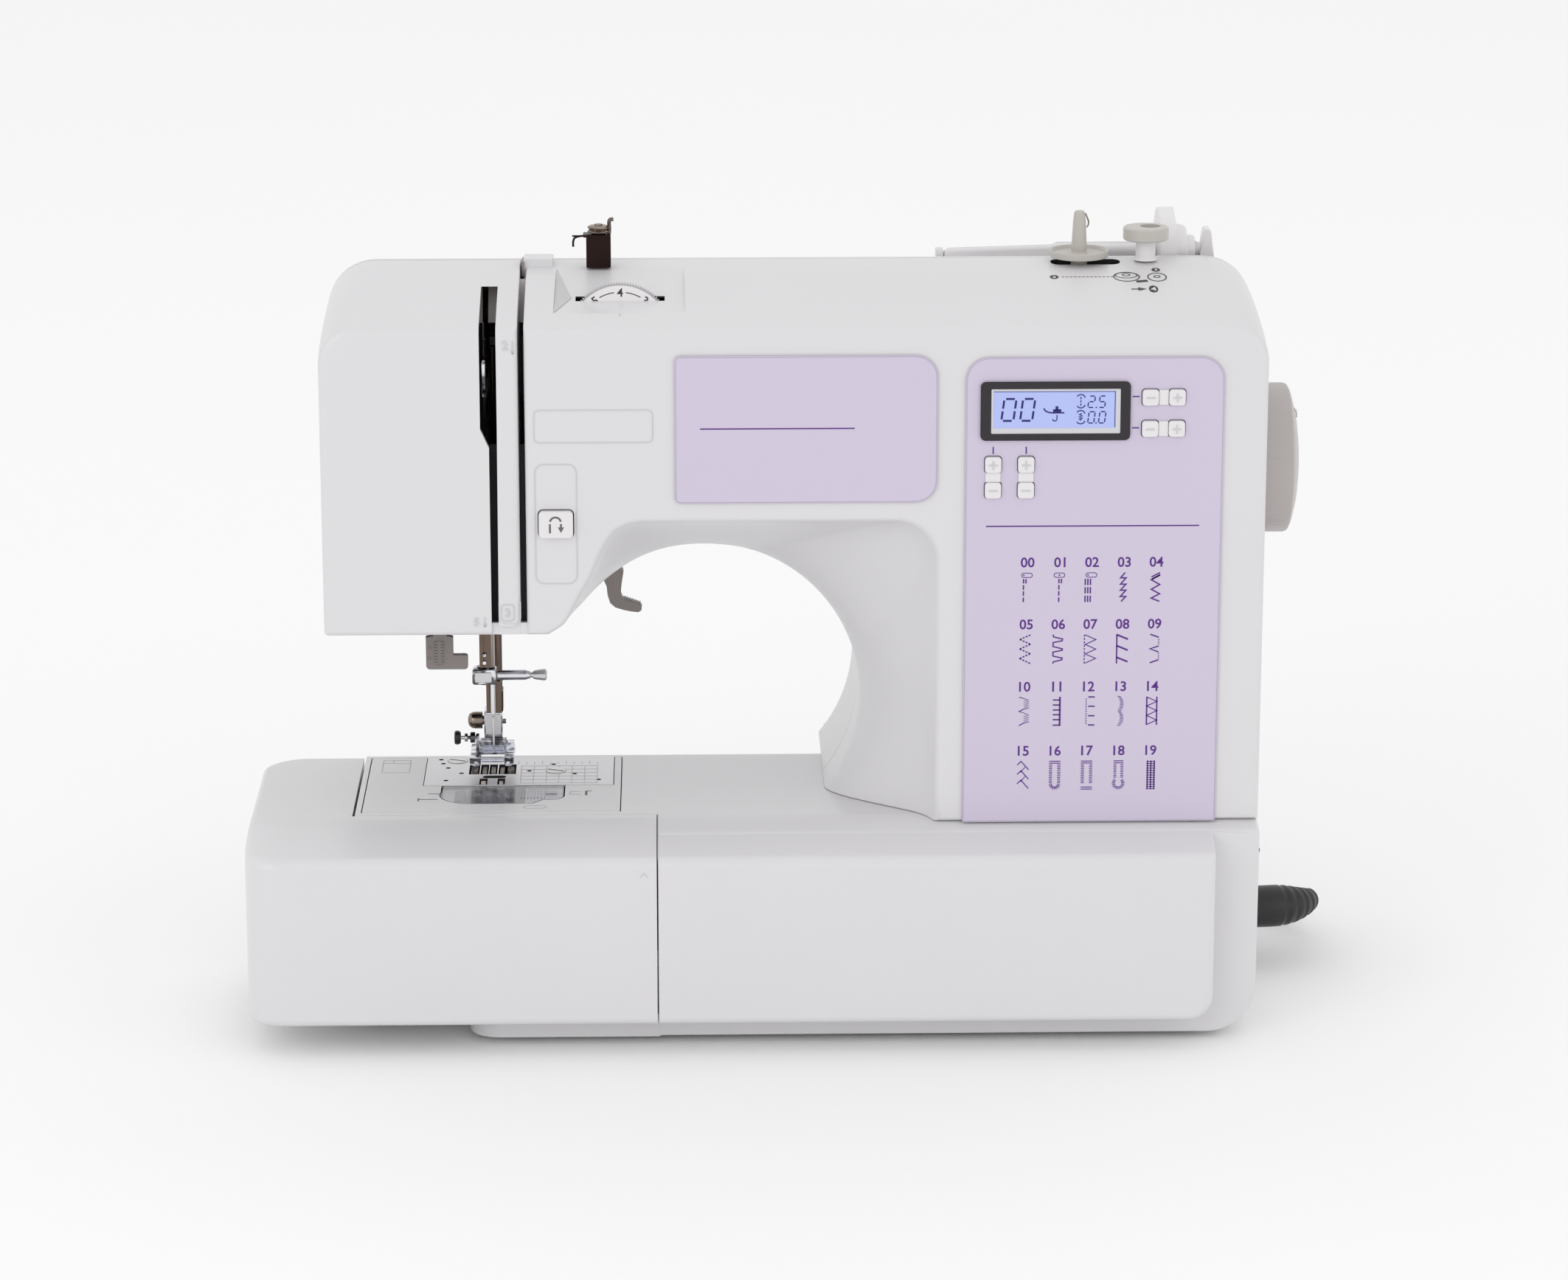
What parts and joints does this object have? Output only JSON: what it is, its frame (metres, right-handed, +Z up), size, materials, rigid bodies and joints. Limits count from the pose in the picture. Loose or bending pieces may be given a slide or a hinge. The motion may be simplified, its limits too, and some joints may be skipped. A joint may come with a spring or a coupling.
{
  "type": "sewing machine",
  "caption": "Free-arm electronic sewing machine with a thread-guide head, presser foot, slide-off accessory table, handwheel, bobbin winder, carry handle and control panel.",
  "frame": {"origin": "centre of the machine's footprint on the surface it stands on, cord left out", "axes": "+X towards the handwheel, +Y towards the back, +Z up; the operator faces +Y"},
  "size_m": [0.4321, 0.2871, 0.3172],
  "materials": {
    "off_white": "fine satin moulding",
    "lilac": "printed satin film",
    "key_white": "satin",
    "dark": "satin",
    "display_blue": "clear window over a blue display",
    "board_green": "solder resist",
    "steel": "polished",
    "cast": "as cast",
    "lever_grey": "satin",
    "beige": "satin",
    "wheel_grey": "satin",
    "clear": "clear acrylic",
    "black_plastic": "satin",
    "black_rubber": "matt"
  },
  "bodies": {
    "machine": {"front_housing": "off_white", "rear_housing": "off_white", "base_housing": "off_white", "bottom_plate": "dark", "foot_front_left": "black_rubber", "foot_back_left": "black_rubber", "face_cover": "off_white", "pattern_panel": "lilac", "name_panel": "lilac", "display_bezel": "dark", "display": "display_blue", "control_board": "board_green", "needle_plate": "steel", "plate_surround": "off_white", "drive_motor": "dark", "motor_belt": "black_rubber", "timing_belt": "black_rubber", "chassis": "cast", "thread_guide": "dark", "winder_stop": "beige", "spool_pin": "off_white", "bobbin_case": "black_plastic", "power_connector": "black_rubber", "power_cord": "black_rubber", "cord_coil": "black_rubber", "mains_plug": "black_rubber"},
    "accessory_table": {"accessory_table": "off_white"},
    "needle_bar": {"needle_bar": "steel", "needle_clamp": "steel", "needle": "steel"},
    "needle_clamp_screw": {"needle_clamp_screw": "steel"},
    "presser_bar": {"presser_bar": "steel", "foot_holder": "steel"},
    "foot_screw": {"foot_screw": "steel"},
    "presser_foot": {"presser_foot": "steel"},
    "presser_lever": {"presser_lever": "lever_grey"},
    "buttonhole_lever": {"buttonhole_lever": "lever_grey"},
    "take_up_lever": {"take_up_lever": "steel"},
    "bobbin_cover": {"bobbin_cover": "clear"},
    "feed_dog": {"feed_dog": "steel"},
    "rotary_hook": {"rotary_hook": "steel"},
    "bobbin": {"bobbin": "clear"},
    "handwheel": {"handwheel": "wheel_grey", "upper_shaft": "steel"},
    "lower_shaft": {"lower_shaft": "steel"},
    "motor_pulley": {"motor_pulley": "steel"},
    "tension_dial": {"tension_dial": "key_white"},
    "winder_shaft": {"winder_shaft": "beige"},
    "spool_cap": {"spool_cap": "key_white"},
    "carry_handle": {"carry_handle": "off_white"},
    "power_switch": {"power_switch": "black_plastic"},
    "width_minus_key": {"width_minus_key": "key_white"},
    "width_plus_key": {"width_plus_key": "key_white"},
    "length_minus_key": {"length_minus_key": "key_white"},
    "length_plus_key": {"length_plus_key": "key_white"},
    "tens_plus_key": {"tens_plus_key": "key_white"},
    "tens_minus_key": {"tens_minus_key": "key_white"},
    "units_plus_key": {"units_plus_key": "key_white"},
    "units_minus_key": {"units_minus_key": "key_white"},
    "reverse_key": {"reverse_key": "key_white"}
  },
  "joints": [
    {"name": "handwheel_spin", "type": "hinge", "parent": "machine", "child": "handwheel", "pos_m": [0.1894, 0.001, 0.2173], "axis": [1, 0, 0], "continuous": true},
    {"name": "lower_shaft_spin", "type": "hinge", "parent": "machine", "child": "lower_shaft", "pos_m": [-0.092, -0.022, 0.045], "axis": [1, 0, 0], "continuous": true},
    {"name": "hook_spin", "type": "hinge", "parent": "machine", "child": "rotary_hook", "pos_m": [-0.11, -0.022, 0.06], "axis": [0, 0, 1], "continuous": true},
    {"name": "motor_pulley_spin", "type": "hinge", "parent": "machine", "child": "motor_pulley", "pos_m": [0.157, 0.001, 0.13], "axis": [1, 0, 0], "continuous": true},
    {"name": "bobbin_spin", "type": "hinge", "parent": "machine", "child": "bobbin", "pos_m": [-0.11, -0.022, 0.07], "axis": [0, 0, 1], "continuous": true},
    {"name": "needle_bar_slide", "type": "slide", "parent": "machine", "child": "needle_bar", "axis": [0, 0, 1], "range_m": [-0.018, 0.012]},
    {"name": "needle_clamp_screw_turn", "type": "hinge", "parent": "needle_bar", "child": "needle_clamp_screw", "pos_m": [-0.1105, -0.0037, 0.1316], "axis": [1, 0, 0], "range_deg": [0, 180]},
    {"name": "presser_lever_hinge", "type": "hinge", "parent": "machine", "child": "presser_lever", "pos_m": [-0.084, 0.036, 0.182], "axis": [0, 1, 0], "range_deg": [0, 50]},
    {"name": "presser_bar_slide", "type": "slide", "parent": "machine", "child": "presser_bar", "axis": [0, 0, 1], "range_m": [-0.0065, 0]},
    {"name": "foot_screw_turn", "type": "hinge", "parent": "presser_bar", "child": "foot_screw", "pos_m": [-0.117, 0.007, 0.1094], "axis": [1, 0, 0], "range_deg": [0, 180]},
    {"name": "presser_foot_tilt", "type": "hinge", "parent": "presser_bar", "child": "presser_foot", "pos_m": [-0.113, 0.005, 0.1004], "axis": [1, 0, 0], "range_deg": [-6, 0]},
    {"name": "buttonhole_lever_slide", "type": "slide", "parent": "machine", "child": "buttonhole_lever", "axis": [0, 0, 1], "range_m": [-0.022, 0]},
    {"name": "take_up_lever_swing", "type": "hinge", "parent": "machine", "child": "take_up_lever", "pos_m": [-0.112, -0.015, 0.255], "axis": [1, 0, 0], "range_deg": [-25, 40]},
    {"name": "feed_dog_slide", "type": "slide", "parent": "machine", "child": "feed_dog", "axis": [0, 1, 0], "range_m": [-0.002, 0.002]},
    {"name": "bobbin_cover_lift", "type": "slide", "parent": "machine", "child": "bobbin_cover", "axis": [0, 0, 1], "range_m": [0, 0.03]},
    {"name": "accessory_table_slide", "type": "slide", "parent": "machine", "child": "accessory_table", "axis": [-1, 0, 0], "range_m": [0, 0.165]},
    {"name": "tension_dial_turn", "type": "hinge", "parent": "machine", "child": "tension_dial", "pos_m": [-0.06, -0.044, 0.277], "axis": [0, -0.9397, 0.342], "range_deg": [-140, 140]},
    {"name": "winder_engage_slide", "type": "slide", "parent": "machine", "child": "winder_shaft", "axis": [1, 0, 0], "range_m": [0, 0.005]},
    {"name": "spool_cap_slide", "type": "slide", "parent": "machine", "child": "spool_cap", "axis": [-1, 0, 0], "range_m": [0, 0.045]},
    {"name": "carry_handle_hinge", "type": "hinge", "parent": "machine", "child": "carry_handle", "pos_m": [0.117, 0.0535, 0.2885], "axis": [1, 0, 0], "range_deg": [0, 95]},
    {"name": "power_switch_rock", "type": "hinge", "parent": "machine", "child": "power_switch", "pos_m": [0.185, -0.041, 0.062], "axis": [0, 1, 0], "range_deg": [-14, 0]},
    {"name": "width_minus_key_press", "type": "slide", "parent": "machine", "child": "width_minus_key", "axis": [0, 1, 0], "range_m": [0, 0.0015], "stiffness_N_per_m": 300},
    {"name": "width_plus_key_press", "type": "slide", "parent": "machine", "child": "width_plus_key", "axis": [0, 1, 0], "range_m": [0, 0.0015], "stiffness_N_per_m": 300},
    {"name": "length_minus_key_press", "type": "slide", "parent": "machine", "child": "length_minus_key", "axis": [0, 1, 0], "range_m": [0, 0.0015], "stiffness_N_per_m": 300},
    {"name": "length_plus_key_press", "type": "slide", "parent": "machine", "child": "length_plus_key", "axis": [0, 1, 0], "range_m": [0, 0.0015], "stiffness_N_per_m": 300},
    {"name": "tens_plus_key_press", "type": "slide", "parent": "machine", "child": "tens_plus_key", "axis": [0, 1, 0], "range_m": [0, 0.0015], "stiffness_N_per_m": 300},
    {"name": "tens_minus_key_press", "type": "slide", "parent": "machine", "child": "tens_minus_key", "axis": [0, 1, 0], "range_m": [0, 0.0015], "stiffness_N_per_m": 300},
    {"name": "units_plus_key_press", "type": "slide", "parent": "machine", "child": "units_plus_key", "axis": [0, 1, 0], "range_m": [0, 0.0015], "stiffness_N_per_m": 300},
    {"name": "units_minus_key_press", "type": "slide", "parent": "machine", "child": "units_minus_key", "axis": [0, 1, 0], "range_m": [0, 0.0015], "stiffness_N_per_m": 300},
    {"name": "reverse_key_press", "type": "slide", "parent": "machine", "child": "reverse_key", "axis": [0, 1, 0], "range_m": [0, 0.003], "stiffness_N_per_m": 300}
  ],
  "couplings": [
    {"joint": "lower_shaft_spin", "follows": "handwheel_spin", "ratio": 1},
    {"joint": "hook_spin", "follows": "handwheel_spin", "ratio": 2},
    {"joint": "motor_pulley_spin", "follows": "handwheel_spin", "ratio": 2},
    {"joint": "presser_bar_slide", "follows": "presser_lever_hinge", "m_per_rad": -0.0073339}
  ]
}
